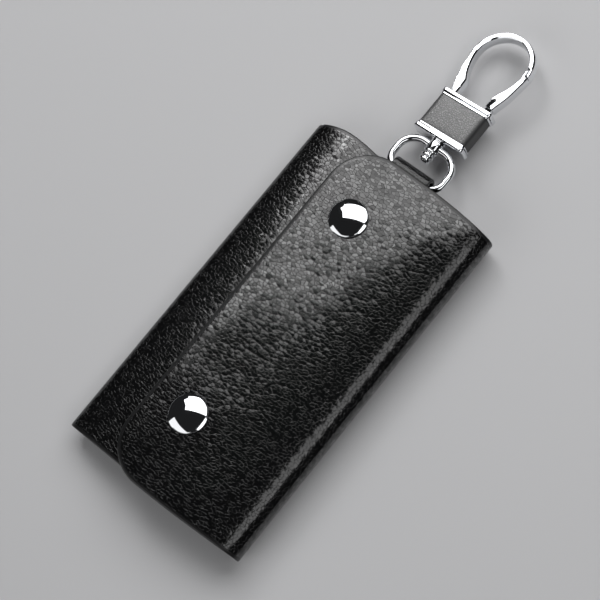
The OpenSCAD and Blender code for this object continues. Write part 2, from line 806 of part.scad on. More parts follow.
module spring_pocket() {
    translate([spring_x0, spring_y, ring_z]) rotate([0, 90, 0])
        round_bar(spring_r + spring_wire_r + spring_clear, spring_l);
}

module leather_sleeve() {
    sleeve_corner_r = core_corner_r + sleeve_t;
    color(sleeve_colour) on_post() translate([0, sleeve_y, ring_z]) difference() {
        y_block(sleeve_w, sleeve_d, sleeve_corner_r, sleeve_l);
        translate([0, -cut, 0])
            y_block(core_w, core_d, core_corner_r, sleeve_l + 2 * cut);
    }
}

// Gate: an arm that mirrors the fixed one, a lip that closes behind the
// nose, and a thin tang that turns on the pin inside the core
gate_foot_gap = 1.5;
nose_gap = 0.25;
gate_foot_y = arm_y + gate_foot_gap;
gate_top_y = loop_y - nose_gap;

module gate() {
    foot_share = (gate_foot_y - arm_y) / arm_l;
    shares = concat([[foot_share, 0.75, 0.60]],
        [for (s = arm_shares) if (s[0] > foot_share && s[0] < 1) s],
        [[(gate_top_y - arm_y) / arm_l, 1, 1]]);
    sections = [for (s = shares) let (y = arm_y + arm_l * s[0])
        [[loop_out_r * s[1], y], [loop_in_r * s[2], y]]];
    neck_w = 2;
    color(chrome_colour) on_post() {
        translate([0, 0, ring_z]) {
            lofted(sections, loop_t, loop_chamfer, 1);
            lofted(loop_sections(-4, nose_angle - 3, loop_in_r + lip_w, loop_in_r, 4),
                loop_t, loop_chamfer / 2, 1);
        }
        difference() {
            translate([0, 0, ring_z - tang_t / 2]) {
                translate([pivot_x, pivot_y, 0]) round_bar(tang_r, tang_t);
                linear_extrude(height = tang_t)
                    polygon([[pivot_x - tang_r, pivot_y], [pivot_x + tang_r, pivot_y],
                        [pivot_x + tang_r, gate_foot_y + cut],
                        [pivot_x + tang_r - neck_w, gate_foot_y + cut]]);
            }
            translate([pivot_x, pivot_y, ring_z - tang_t])
                round_bar(pin_r + run_clear, 2 * tang_t);
        }
    }
}

module gate_pin() {
    color(steel_colour) on_post() translate([pivot_x, pivot_y, ring_z - core_d / 2])
        round_bar(pin_r, core_d);
}

// Coil of spring wire along X, one unbroken tube
function coil_point(i, per_turn) =
    let (a = 360 * i / per_turn, run = spring_l - 2 * spring_wire_r)
    [spring_x0 + spring_wire_r + run * i / (per_turn * spring_turns),
     spring_y + spring_r * cos(a), ring_z + spring_r * sin(a)];

module gate_spring() {
    per_turn = 12;
    sides = 6;
    n = per_turn * spring_turns;
    points = [for (i = [0:n], k = [0:sides - 1])
        let (a = 360 * i / per_turn, b = 360 * k / sides, p = coil_point(i, per_turn))
        p + spring_wire_r * [sin(b), cos(b) * cos(a), cos(b) * sin(a)]];
    faces = [for (i = [0:n - 1], k = [0:sides - 1])
        let (a = sides * i + k, b = sides * i + (k + 1) % sides)
        each [[a, b, b + sides], [a, b + sides, a + sides]]];
    color(steel_colour) on_post() polyhedron(points, concat(faces,
        [[for (k = [sides - 1:-1:0]) k]],
        [[for (k = [0:sides - 1]) sides * n + k]]));
}

back_leather();
back_lining();
flap_leather();
flap_lining();
inner_leaf_leather();
inner_leaf_lining();
ring_tab();
tab_rivets();
snap_cap(snap_ys[0]);  // upper_snap_cap
snap_socket(snap_ys[0]);  // upper_snap_socket
snap_spring(snap_ys[0]);  // upper_snap_spring
snap_stud(snap_ys[0]);  // upper_snap_stud
snap_eyelet(snap_ys[0]);  // upper_snap_eyelet
snap_cap(snap_ys[1]);  // lower_snap_cap
snap_socket(snap_ys[1]);  // lower_snap_socket
snap_spring(snap_ys[1]);  // lower_snap_spring
snap_stud(snap_ys[1]);  // lower_snap_stud
snap_eyelet(snap_ys[1]);  // lower_snap_eyelet
key_plate();
plate_rivets();
hanger_rod();
key_clip(1);  // key_clip_1
key_clip(2);  // key_clip_2
key_clip(3);  // key_clip_3
key_clip(4);  // key_clip_4
key_clip(5);  // key_clip_5
key_clip(6);  // key_clip_6
swivel_ring();
swivel_post();
hook_body();
leather_sleeve();
gate();
gate_pin();
gate_spring();
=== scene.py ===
import math
import bpy
import bmesh
from mathutils import Matrix, Vector, noise


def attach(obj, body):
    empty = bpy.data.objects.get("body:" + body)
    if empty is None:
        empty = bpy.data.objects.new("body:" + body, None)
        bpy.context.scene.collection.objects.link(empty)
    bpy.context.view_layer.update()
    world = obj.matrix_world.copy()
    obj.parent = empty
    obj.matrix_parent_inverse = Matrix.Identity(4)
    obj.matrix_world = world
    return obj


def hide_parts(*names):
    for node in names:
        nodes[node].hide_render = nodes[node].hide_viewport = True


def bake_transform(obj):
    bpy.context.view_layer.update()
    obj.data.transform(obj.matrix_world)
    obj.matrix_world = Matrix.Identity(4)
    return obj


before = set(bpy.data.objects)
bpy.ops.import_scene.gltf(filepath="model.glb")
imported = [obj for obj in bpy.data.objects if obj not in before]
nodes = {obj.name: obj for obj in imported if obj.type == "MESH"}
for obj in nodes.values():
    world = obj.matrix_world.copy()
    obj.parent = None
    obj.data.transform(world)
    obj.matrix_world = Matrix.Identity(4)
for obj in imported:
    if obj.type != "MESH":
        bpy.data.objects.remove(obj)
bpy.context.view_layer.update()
scene = bpy.context.scene
mm = 0.001

# Camera, fitted to the case's corners and folds and to the hook
cameraSetup = {
    "lens": 108.0,
    "sensor": 36.0,
    "nearest": 0.01,
    "place": (0.1778, -0.0567, 0.5123),
    "right": (0.7560, 0.6283, -0.1838),
    "up": (-0.5637, 0.7675, 0.3052),
}


def addObject(name, data):
    made = bpy.data.objects.new(name, data)
    scene.collection.objects.link(made)
    return made


def placeCamera(setup):
    data = bpy.data.cameras.new("studioCamera")
    data.lens = setup["lens"]
    data.sensor_width = setup["sensor"]
    data.clip_start = setup["nearest"]
    right = Vector(setup["right"]).normalized()
    up = Vector(setup["up"])
    up = (up - right * up.dot(right)).normalized()
    turn = Matrix((right, up, right.cross(up))).transposed()
    camera = addObject("studioCamera", data)
    camera.matrix_world = Matrix.Translation(setup["place"]) @ turn.to_4x4()
    scene.camera = camera


# Small helpers for node trees
def feed(tree, node, sources):
    # Each input takes a link from a socket, or else a plain value
    for key, source in sources.items():
        if isinstance(source, bpy.types.NodeSocket):
            tree.links.new(source, node.inputs[key])
        else:
            node.inputs[key].default_value = source


def newNode(tree, kind, place, sources=None, **settings):
    node = tree.nodes.new(kind)
    node.location = place
    for key, value in settings.items():
        setattr(node, key, value)
    feed(tree, node, sources or {})
    return node


def mathNode(tree, place, operation, *sources):
    node = newNode(tree, "ShaderNodeMath", place, dict(enumerate(sources)), operation=operation)
    return node.outputs[0]


def vectorNode(tree, place, operation, sources):
    return newNode(tree, "ShaderNodeVectorMath", place, sources, operation=operation)


def mixNode(tree, place, kind, share, first, second):
    a, b, mixed = (6, 7, 2) if kind == "RGBA" else (2, 3, 0)
    node = newNode(tree, "ShaderNodeMix", place, {0: share, a: first, b: second}, data_type=kind)
    return node.outputs[mixed]


def newGroup(name, kind, inputs, outputs):
    tree = bpy.data.node_groups.new(name, kind)
    for label, socketType, value in inputs:
        socket = tree.interface.new_socket(label, in_out="INPUT", socket_type=socketType)
        if value is not None:
            socket.default_value = value
    for label, socketType in outputs:
        tree.interface.new_socket(label, in_out="OUTPUT", socket_type=socketType)
    start = newNode(tree, "NodeGroupInput", (-900, 0))
    return tree, start.outputs, newNode(tree, "NodeGroupOutput", (900, 0))


def newMaterial(name):
    material = bpy.data.materials.new(name)
    material.use_nodes = True
    return material, material.node_tree, material.node_tree.nodes["Principled BSDF"]


# Pebbled grain: leaning, domed pebbles between creases, with pores and swells
grainForm = {
    "swirlScale": 0.6, "swirlDetail": 2.0, "topsFrom": 0.01, "topsTo": 0.12,
    "poreScale": 2.6, "poreDetail": 3.0, "poreShare": 0.10,
    "swellScale": 0.7, "swellDetail": 2.0, "swellShare": 0.7,
}


def makeGrainGroup(form):
    tree, given, end = newGroup(
        "pebbledGrain", "ShaderNodeTree",
        [("Vector", "NodeSocketVector", None), ("Pebbles", "NodeSocketFloat", 100.0),
         ("Warp", "NodeSocketFloat", 0.4), ("Crease", "NodeSocketFloat", 0.2),
         ("Tilt", "NodeSocketFloat", 0.8), ("Dome", "NodeSocketFloat", 2.0)],
        [("Height", "NodeSocketFloat"), ("Creases", "NodeSocketFloat"),
         ("Chance", "NodeSocketFloat"), ("Tops", "NodeSocketFloat")])

    # The map, scaled to one pebble per unit and swirled
    swirlScale = mathNode(tree, (-860, -260), "MULTIPLY", given["Pebbles"], form["swirlScale"])
    swirl = newNode(tree, "ShaderNodeTexNoise", (-700, -200), {
        "Vector": given["Vector"], "Scale": swirlScale, "Detail": form["swirlDetail"]})
    scaled = vectorNode(tree, (-560, 100), "SCALE",
                        {0: given["Vector"], "Scale": given["Pebbles"]})
    push = vectorNode(tree, (-500, -200), "SCALE",
                      {0: swirl.outputs["Color"], "Scale": given["Warp"]})
    warped = vectorNode(tree, (-360, 0), "ADD",
                        {0: scaled.outputs[0], 1: push.outputs[0]}).outputs[0]

    # Creases and the pebbles' tops, by the distance from a pebble's border
    border = newNode(tree, "ShaderNodeTexVoronoi", (-180, 120), {"Vector": warped, "Scale": 1.0},
                     voronoi_dimensions="2D", feature="DISTANCE_TO_EDGE").outputs["Distance"]
    rise = newNode(tree, "ShaderNodeMapRange", (20, 120), {
        "Value": border, "From Max": given["Crease"]},
        interpolation_type="SMOOTHSTEP").outputs["Result"]
    tops = newNode(tree, "ShaderNodeMapRange", (20, -120), {
        "Value": border, "From Min": form["topsFrom"], "From Max": form["topsTo"]},
        interpolation_type="SMOOTHSTEP").outputs["Result"]

    # Each pebble leans its own way and falls off from its middle
    pebble = newNode(tree, "ShaderNodeTexVoronoi", (-180, 380), {"Vector": warped, "Scale": 1.0},
                     voronoi_dimensions="2D", feature="F1").outputs
    local = vectorNode(tree, (20, 560), "SUBTRACT", {0: warped, 1: pebble["Position"]})
    lean = vectorNode(tree, (20, 380), "SUBTRACT", {0: pebble["Color"], 1: (0.5, 0.5, 0.5)})
    slope = vectorNode(tree, (220, 480), "DOT_PRODUCT",
                       {0: local.outputs[0], 1: lean.outputs[0]}).outputs["Value"]
    tilted = mathNode(tree, (400, 480), "MULTIPLY", slope, given["Tilt"])
    tilted = mathNode(tree, (560, 400), "MULTIPLY_ADD", tilted, rise, rise)
    square = mathNode(tree, (20, 720), "MULTIPLY", pebble["Distance"], pebble["Distance"])
    fall = mathNode(tree, (220, 720), "MULTIPLY", square, given["Dome"])
    height = mathNode(tree, (700, 520), "SUBTRACT", tilted, fall)

    # Pores and broad swells lie over the pebbles
    pores = newNode(tree, "ShaderNodeTexNoise", (-180, -160), {
        "Vector": warped, "Scale": form["poreScale"], "Detail": form["poreDetail"]})
    swells = newNode(tree, "ShaderNodeTexNoise", (-180, -420), {
        "Vector": warped, "Scale": form["swellScale"], "Detail": form["swellDetail"]})
    height = mathNode(tree, (220, -60), "MULTIPLY_ADD", pores.outputs[0], form["poreShare"],
                      height)
    height = mathNode(tree, (420, -60), "MULTIPLY_ADD", swells.outputs[0], form["swellShare"],
                      height)

    chance = newNode(tree, "ShaderNodeSeparateXYZ", (220, 300), {0: pebble["Color"]})
    feed(tree, end, {"Height": height, "Tops": tops, "Chance": chance.outputs["Z"],
                     "Creases": mathNode(tree, (420, 180), "SUBTRACT", 1.0, rise)})
    return tree


# Uneven polish: a value that wanders between two levels
wanderForm = {"detail": 4.0, "from": 0.3, "to": 0.7}


def makeWanderGroup(form):
    tree, given, end = newGroup(
        "unevenPolish", "ShaderNodeTree",
        [("Vector", "NodeSocketVector", None), ("Scale", "NodeSocketFloat", 100.0),
         ("Low", "NodeSocketFloat", 0.1), ("High", "NodeSocketFloat", 0.2)],
        [("Value", "NodeSocketFloat")])
    cloud = newNode(tree, "ShaderNodeTexNoise", (-400, 0), {
        "Vector": given["Vector"], "Scale": given["Scale"], "Detail": form["detail"]})
    spread = newNode(tree, "ShaderNodeMapRange", (0, 0), {
        "Value": cloud.outputs[0], "From Min": form["from"], "From Max": form["to"],
        "To Min": given["Low"], "To Max": given["High"]}, clamp=True)
    feed(tree, end, {"Value": spread.outputs["Result"]})
    return tree


grainGroup = makeGrainGroup(grainForm)
polishGroup = makeWanderGroup(wanderForm)


# Leather whose grain follows the sheet's own UV map. The "paint" attribute is
# 1 on the painted rim, where the grain is filled, and "rub" 1 on worn folds
def makeLeather(name, setup):
    material, tree, shader = newMaterial(name)
    uv = newNode(tree, "ShaderNodeUVMap", (-1100, 0), uv_map="sheetMap").outputs[0]
    paint, rub = (
        newNode(tree, "ShaderNodeAttribute", (-1100, y), attribute_name=label).outputs["Fac"]
        for label, y in (("paint", -300), ("rub", -500)))
    stretched = newNode(tree, "ShaderNodeMapping", (-920, 0), {
        "Vector": uv, "Rotation": (0.0, 0.0, math.radians(setup["grainTurn"])),
        "Scale": (1.0, setup["grainStretch"], 1.0)})
    grain = newNode(tree, "ShaderNodeGroup", (-700, 0), {
        "Vector": stretched.outputs[0], "Pebbles": setup["pebbles"], "Warp": setup["warp"],
        "Crease": setup["crease"], "Tilt": setup["tilt"], "Dome": setup["dome"]},
        node_tree=grainGroup).outputs
    wear = newNode(tree, "ShaderNodeGroup", (-700, -300), {
        "Vector": uv, "Scale": setup["wearScale"], "Low": setup["roughLow"],
        "High": setup["roughHigh"]}, node_tree=polishGroup).outputs["Value"]

    # The creases are coloured darker than the pebbles' tops: a painted shade in the creases
    tone = mixNode(tree, (-400, 200), "RGBA", grain["Creases"], (*setup["colour"], 1),
                   (*setup["paintedCreaseShade"], 1))
    tone = mixNode(tree, (-200, 200), "RGBA", paint, tone, (*setup["paintColour"], 1))
    rough = mixNode(tree, (-400, -60), "FLOAT", grain["Creases"], wear, setup["creaseRough"])
    rough = mixNode(tree, (-200, -120), "FLOAT", paint, rough, setup["paintRough"])

    # Some pebbles' tops are glossier than others
    gloss = newNode(tree, "ShaderNodeMapRange", (-560, 320), {
        "Value": grain["Chance"], "To Min": setup["coatLow"], "To Max": setup["coatHigh"]})
    coat = mathNode(tree, (-400, 40), "MULTIPLY", grain["Tops"], gloss.outputs["Result"])
    coat = mixNode(tree, (-300, 40), "FLOAT", rub, coat, setup["rubCoat"])
    coat = mixNode(tree, (-200, 40), "FLOAT", paint, coat, setup["paintCoat"])

    keep = mathNode(tree, (-560, -160), "SUBTRACT", 1.0, paint)
    height = mathNode(tree, (-400, -120), "MULTIPLY", grain["Height"], keep)
    bump = newNode(tree, "ShaderNodeBump", (-200, -320), {
        "Strength": setup["bump"], "Distance": setup["depth"] * mm, "Height": height})
    feed(tree, shader, {
        "Base Color": tone, "Roughness": rough, "Normal": bump.outputs[0],
        "Coat Weight": coat, "Coat Roughness": setup["coatRough"],
        "Coat IOR": setup["coatIor"], "Specular IOR Level": setup["sheen"],
        "IOR": setup["ior"]})
    return material


def makeMetal(name, setup):
    material, tree, shader = newMaterial(name)
    place = newNode(tree, "ShaderNodeTexCoord", (-900, 0)).outputs["Object"]
    stretched = newNode(tree, "ShaderNodeMapping", (-720, 0), {
        "Vector": place, "Scale": setup["stretch"]}).outputs[0]
    polish = newNode(tree, "ShaderNodeGroup", (-500, -100), {
        "Vector": stretched, "Scale": setup["scale"], "Low": setup["roughLow"],
        "High": setup["roughHigh"]}, node_tree=polishGroup)
    ripple = newNode(tree, "ShaderNodeTexNoise", (-500, -350), {
        "Vector": stretched, "Scale": setup["rippleScale"], "Detail": setup["rippleDetail"]})
    bump = newNode(tree, "ShaderNodeBump", (-250, -300), {
        "Strength": setup["bump"], "Distance": setup["depth"] * mm,
        "Height": ripple.outputs[0]})
    feed(tree, shader, {
        "Base Color": (*setup["colour"], 1), "Metallic": 1.0,
        "Roughness": polish.outputs["Value"], "Normal": bump.outputs[0]})
    return material


# Materials by the name of their slot
finishes = {
    "grain_leather": makeLeather("blackGrainLeather", {
        "colour": (0.0035, 0.0035, 0.0037), "paintedCreaseShade": (0.0012, 0.0012, 0.0012),
        "paintColour": (0.008, 0.008, 0.0085),
        "pebbles": 88.0, "warp": 0.8, "crease": 0.10, "tilt": 4.4, "dome": 1.4,
        "grainTurn": 0.0, "grainStretch": 1.5, "wearScale": 9.0,
        "roughLow": 0.08, "roughHigh": 0.12, "creaseRough": 0.22, "paintRough": 0.3,
        "coatLow": 0.05, "coatHigh": 0.85, "coatRough": 0.10, "coatIor": 1.85,
        "paintCoat": 0.0, "rubCoat": 0.06,
        "sheen": 0.5, "ior": 1.5, "bump": 1.0, "depth": 0.023,
    }),
    "lining_leather": makeLeather("blackLiningLeather", {
        "colour": (0.014, 0.0135, 0.013), "paintedCreaseShade": (0.008, 0.008, 0.008),
        "paintColour": (0.012, 0.012, 0.013),
        "pebbles": 320.0, "warp": 0.8, "crease": 0.4, "tilt": 0.4, "dome": 0.5,
        "grainTurn": 20.0, "grainStretch": 1.3, "wearScale": 14.0,
        "roughLow": 0.55, "roughHigh": 0.7, "creaseRough": 0.8, "paintRough": 0.4,
        "coatLow": 0.0, "coatHigh": 0.1, "coatRough": 0.4, "coatIor": 1.5,
        "paintCoat": 0.1, "rubCoat": 0.1,
        "sheen": 0.5, "ior": 1.45, "bump": 0.5, "depth": 0.03,
    }),
    "sleeve_leather": makeLeather("sheenPaintedSleeveLeather", {
        # The sleeve's grey colour is a painted sheen on black leather, and its creases are
        # coloured darker as a painted shade
        "colour": (0.135, 0.135, 0.137), "paintedCreaseShade": (0.07, 0.07, 0.071),
        "paintColour": (0.010, 0.010, 0.011),
        "pebbles": 170.0, "warp": 1.8, "crease": 0.40, "tilt": 1.2, "dome": 0.6,
        "grainTurn": 0.0, "grainStretch": 1.0, "wearScale": 20.0,
        "roughLow": 0.38, "roughHigh": 0.46, "creaseRough": 0.6, "paintRough": 0.5,
        "coatLow": 0.3, "coatHigh": 0.5, "coatRough": 0.25, "coatIor": 1.8,
        "paintCoat": 0.1, "rubCoat": 0.2,
        "sheen": 0.8, "ior": 1.5, "bump": 0.9, "depth": 0.07,
    }),
    "polished_chrome": makeMetal("polishedChrome", {
        "colour": (0.80, 0.81, 0.83), "stretch": (1, 1, 1), "scale": 260.0,
        "roughLow": 0.03, "roughHigh": 0.07,
        "rippleScale": 420.0, "rippleDetail": 2.0, "bump": 0.05, "depth": 0.02,
    }),
    "nickel_steel": makeMetal("satinNickelSteel", {
        "colour": (0.62, 0.61, 0.60), "stretch": (1, 1, 3), "scale": 900.0,
        "roughLow": 0.22, "roughHigh": 0.36,
        "rippleScale": 1800.0, "rippleDetail": 2.0, "bump": 0.15, "depth": 0.02,
    }),
}
print("materials made")


def finishPiece(piece, slotName):
    piece.data.materials.clear()
    piece.data.materials.append(finishes[slotName])
    return piece


# Small helpers for lines, in millimetres
def arcPoints(cx, cz, radius, first, last, count):
    return [(cx + radius * math.cos(math.radians(first + (last - first) * i / count)),
             cz + radius * math.sin(math.radians(first + (last - first) * i / count)))
            for i in range(count + 1)]


def roundShoulder(x, z, outerX, topZ, power, count):
    # From the fold's outermost point (outerX, z) up to the seat at (x, topZ)
    points = []
    for i in range(1, count + 1):
        a = math.pi / 2 * i / count
        points.append((x + (outerX - x) * max(math.cos(a), 0.0) ** (2 / power),
                       z + (topZ - z) * math.sin(a) ** (2 / power)))
    return points


def arcDrop(radius, away):
    # How deep a rounded rim lies below the face, at a distance from its edge
    if away >= radius:
        return 0.0
    return radius - math.sqrt(max(radius ** 2 - (radius - away) ** 2, 0.0))


def stepUp(value, start, reach):
    # 0 up to start, then evenly up to 1
    return min(1.0, max(0.0, (value - start) / reach))


def pathLength(points):
    return sum(math.dist(a, b) for a, b in zip(points, points[1:]))


def resample(points, positions):
    # Points on a line at given distances along it
    lengths = [0.0]
    for a, b in zip(points, points[1:]):
        lengths.append(lengths[-1] + math.dist(a, b))
    found, i = [], 0
    for s in positions:
        s = min(max(s, 0.0), lengths[-1])
        while i < len(points) - 2 and lengths[i + 1] < s:
            i += 1
        span = lengths[i + 1] - lengths[i] or 1.0
        t = (s - lengths[i]) / span
        found.append(tuple(a + (b - a) * t for a, b in zip(points[i], points[i + 1])))
    return found


# Small helpers for meshes
def faceOutward(mesh, weld=0.0, tiny=0.0):
    # Joins points closer than weld, drops edges shorter than tiny, both in metres
    work = bmesh.new()
    work.from_mesh(mesh)
    if weld:
        bmesh.ops.remove_doubles(work, verts=work.verts, dist=weld)
    if tiny:
        bmesh.ops.dissolve_degenerate(work, dist=tiny, edges=work.edges)
    bmesh.ops.recalc_face_normals(work, faces=work.faces)
    work.to_mesh(mesh)
    work.free()


def shadeSmooth(mesh, angle):
    for polygon in mesh.polygons:
        polygon.use_smooth = True
    mesh.set_sharp_from_angle(angle=math.radians(angle))


def closedPiece(mesh, angle, weld=0.0, tiny=0.0):
    faceOutward(mesh, weld, tiny)
    shadeSmooth(mesh, angle)
    return addObject(mesh.name, mesh)


def addSheetData(mesh, uvs, values):
    uvLayer = mesh.uv_layers.new(name="sheetMap")
    for loop in mesh.loops:
        uvLayer.data[loop.index].uv = uvs[loop.vertex_index]
    for label, numbers in values.items():
        mesh.attributes.new(label, "FLOAT", "POINT").data.foreach_set("value", numbers)


# Shared by all leather sheets, in millimetres
sheetForm = {
    "uvLength": 125.0,  # length of one UV unit
    "nudge": 0.02,  # how far apart a line is probed for its direction
    "paintFade": 0.4,  # width over which the rim's paint ends
    "weld": 2e-6, "tiny": 1e-7,  # in metres
    "sharpAngle": 60,
}


def sheetColumns(total, step, insets):
    # Distances from 0 to total, even at first and close at the rim
    last = total - insets[-1] - step
    count = max(2, round(last / step))
    return [last * i / count for i in range(count + 1)] + [total - d for d in insets[::-1]]


def sheetRows(low, high, insets, count):
    # Places from one end of the sheet to the other, close at both rims
    core = low + high - 2 * insets[-1]
    return ([-low + d for d in insets]
            + [-low + insets[-1] + core * i / count for i in range(1, count)]
            + [high - d for d in insets[::-1]])


# A leather sheet whose free rims are rounded. line is its outer face in
# section, and near and far are the depths of its two faces under that line
def buildSheet(name, line, sheet, near, far, inset, form):
    total = pathLength(line) - inset
    insets, corner, wave = form["rimInsets"], sheet["corner"], sheet["wave"]
    columns = sheetColumns(total, form["step"], insets)
    points = resample(line, columns)
    after = resample(line, [s + sheetForm["nudge"] for s in columns])
    before = resample(line, [s - sheetForm["nudge"] for s in columns])
    half = (far - near) / 2
    rowCount = 2 * round(form["halfLength"] / form["step"])
    verts, outer, inner, paint, rubbed, uvs = [], [], [], [], [], []
    for k, s in enumerate(columns):
        x, z = points[k]
        dx, dz = after[k][0] - before[k][0], after[k][1] - before[k][1]
        run = math.hypot(dx, dz) or 1.0
        nx, nz = sheet["side"] * dz / run, -sheet["side"] * dx / run
        fromEdge = total - s
        lowFull, highFull = (reach - inset for reach in sheet["ends"](x, s))
        trim = arcDrop(corner, fromEdge)
        low, high = lowFull - trim, highFull - trim
        rub = sum(math.exp(-((x - place) / width) ** 2) for place, width in form["rubs"])
        outerRow, innerRow = [], []
        for y in sheetRows(low, high, insets, rowCount):
            limit, full = (high, highFull) if y > 0 else (low, lowFull)
            gap = min(fromEdge, limit - abs(y))
            if fromEdge < corner and abs(y) > full - corner:
                gap = min(gap, corner - math.hypot(corner - fromEdge, abs(y) - full + corner))
            gap = max(gap, 0.0)
            drop, thin = arcDrop(half, gap), 0.0
            if near == 0:  # the outer leather is thinned towards its rim
                thin = form["skive"] * max(0.0, 1 - gap / form["skiveWidth"]) ** 2
            lift = wave(x, z, y) if wave else 0.0
            for depth, row in ((near + max(drop, thin), outerRow), (far - drop, innerRow)):
                a, b = x + nx * (lift - depth), z + nz * (lift - depth)
                spot = (a, y, b) if sheet["plane"] == "xz" else (y, a, b)
                row.append(len(verts))
                verts.append([c * mm for c in spot])
                paint.append(stepUp(form["skiveWidth"] - gap, 0.0, sheetForm["paintFade"]))
                rubbed.append(rub)
                uvs.append((s / sheetForm["uvLength"], 0.5 + y / sheetForm["uvLength"]))
        outer.append(outerRow)
        inner.append(innerRow)
    faces = []
    for i in range(len(columns) - 1):
        for j in range(len(outer[0]) - 1):
            faces.append((outer[i][j], outer[i][j + 1], outer[i + 1][j + 1], outer[i + 1][j]))
            faces.append((inner[i][j], inner[i + 1][j], inner[i + 1][j + 1], inner[i][j + 1]))
    for j in range(len(outer[0]) - 1):
        faces.append((outer[0][j], inner[0][j], inner[0][j + 1], outer[0][j + 1]))
    mesh = bpy.data.meshes.new(name)
    mesh.from_pydata(verts, [], faces)
    addSheetData(mesh, uvs, {"paint": paint, "rub": rubbed})
    return closedPiece(mesh, sheetForm["sharpAngle"], sheetForm["weld"], sheetForm["tiny"])


# The closed case, in millimetres, as the frame has it
caseForm = {
    "halfWidth": 34.0, "halfLength": 60.0, "leather": 1.1, "lining": 0.5, "liningInset": 0.3,
    "step": 0.9, "arcSteps": 24, "rollSteps": 48, "edgeSteps": 12, "bowFrom": 40.0,
    "rimInsets": (0.0, 0.04, 0.14, 0.32, 0.6, 1.0, 1.4), "skive": 0.16, "skiveWidth": 1.4,
    # the flap: its fold, roll, free edge and ends
    "flapFold": 7.65, "flapTop": 16.1, "flapPower": 2.3, "flapSeat": 6.0,
    "flapEdge": -17.5, "flapEdgeTop": 15.8, "flapEdgeFrom": -9.8,
    "flapCorner": 14.0, "flapBow": 1.5, "flapBlend": (2.0, 12.4),
    "curl": 0.7, "curlFrom": 46.0,
    # the inner leaf: its fold, shoulder, free edge and upper end
    "leafFold": 5.7, "leafTop": 11.4, "leafPower": 2.15, "leafSeat": -9.0,
    "leafEdge": 5.0, "leafCorner": 5.0, "leafBow": 1.3, "leafBowReach": 12.0,
    "leafSwell": 1.0, "leafSwellReach": 22.5, "leafBlend": (1.8, 9.4),
    # waves: none on the back and at the snaps
    "waveHeight": 0.16, "waveLength": 26.0, "waveRise": 40.0, "waveReach": 8.0,
    "calmUpTo": 6.0, "calmReach": 5.0,
    "snaps": ((-3.3, 39.1), (-3.3, -35.9)), "snapRadius": 6.5,
    "snapSink": 0.16, "snapReach": 13.0,
    # worn folds: place across the case and width
    "rubs": ((29.5, 3.0), (-32.5, 2.5)),
}


def flapOutline(form):
    fold, top, steps = form["flapFold"], form["flapTop"], form["edgeSteps"]
    centre = form["halfWidth"] - fold
    points = [(0.0, 0.0), (centre, 0.0)]
    points += arcPoints(centre, fold, fold, -90, 0, form["arcSteps"])
    points += roundShoulder(form["flapSeat"], fold, form["halfWidth"], top, form["flapPower"],
                            form["rollSteps"])
    run, rise = form["flapEdgeFrom"] - form["flapEdge"], top - form["flapEdgeTop"]
    edge = [(form["flapEdge"] + run * i / steps,
             form["flapEdgeTop"] + rise * math.sin(math.pi / 2 * i / steps))
            for i in range(steps + 1)]
    return points + edge[::-1]


def leafOutline(form):
    fold = form["leafFold"]
    points = arcPoints(fold - form["halfWidth"], fold, fold, -90, -180, form["arcSteps"])
    points += roundShoulder(form["leafSeat"], fold, -form["halfWidth"], form["leafTop"],
                            form["leafPower"], form["rollSteps"])
    return [(0.0, 0.0)] + points + [(form["leafEdge"], form["leafTop"])]


def flapEnds(x, s):
    # Both ends of the flap are bowed
    form = caseForm
    if s < form["bowFrom"]:
        return form["halfLength"], form["halfLength"]
    start = form["flapEdge"] + form["flapCorner"]
    share = stepUp(x, start, form["halfWidth"] - start)
    reach = form["halfLength"] + form["flapBow"] * math.cos(math.pi / 2 * share)
    return reach, reach


def leafEnds(x, s):
    # The leaf's upper end rises from its fold and swells a little
    form = caseForm
    if s < form["bowFrom"]:
        return form["halfLength"], form["halfLength"]
    inward = x + form["halfWidth"]
    share = min(1.0, inward / form["leafBowReach"])
    bow = form["leafBow"] * math.sin(math.pi / 2 * share)
    share = min(1.0, inward / form["leafSwellReach"])
    bow += form["leafSwell"] * math.sin(math.pi * share)
    return form["halfLength"], form["halfLength"] + bow


def caseWave(x, z, y):
    # Slight waves of the leather, none at the snaps and on the back
    form = caseForm
    spot = Vector((x / form["waveLength"], y / form["waveLength"], z / form["waveRise"]))
    calm = stepUp(z, form["calmUpTo"], form["calmReach"])
    for sx, sy in form["snaps"]:
        calm *= stepUp(math.hypot(x - sx, y - sy), form["snapRadius"], form["waveReach"])
    return form["waveHeight"] * calm * noise.noise(spot)


def flapWave(x, z, y):
    # The flap's ends curl down a little, and the snaps hold its middle up
    form = caseForm
    past = max(0.0, abs(y) - form["curlFrom"]) / (form["halfLength"] - form["curlFrom"])
    away = min(math.hypot(x - sx, y - sy) for sx, sy in form["snaps"])
    sink = stepUp(away, form["snapRadius"], form["snapReach"])
    sink *= form["snapSink"] * sink * (3 - 2 * sink)
    calm = stepUp(z, form["calmUpTo"], form["calmReach"])
    return caseWave(x, z, y) - calm * (form["curl"] * past ** 2 + sink)


# Each side: its body, its name, its outer line, where it bends away from the
# back, and on which side of the line it lies, its ends, corners and waves
def buildCase(form):
    depth = form["leather"]
    layers = (("Leather", 0.0, depth, 0.0, "grain_leather"),
              ("Lining", depth, depth + form["lining"], form["liningInset"], "lining_leather"))
    sides = (
        ("flap", "flap", flapOutline(form), form["flapBlend"],
         {"side": 1, "ends": flapEnds, "corner": form["flapCorner"], "wave": flapWave,
          "plane": "xz"}),
        ("inner_leaf", "leaf", leafOutline(form), form["leafBlend"],
         {"side": -1, "ends": leafEnds, "corner": form["leafCorner"], "wave": caseWave,
          "plane": "xz"}),
    )
    for body, label, line, (low, high), sheet in sides:
        for layer, near, far, inset, slotName in layers:
            piece = buildSheet(label + layer, line, sheet, near, far, inset, form)
            finishPiece(piece, slotName)
            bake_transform(piece)
            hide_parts(body + "_" + layer.lower(), "back_" + layer.lower())


buildCase(caseForm)
print("case leather made")

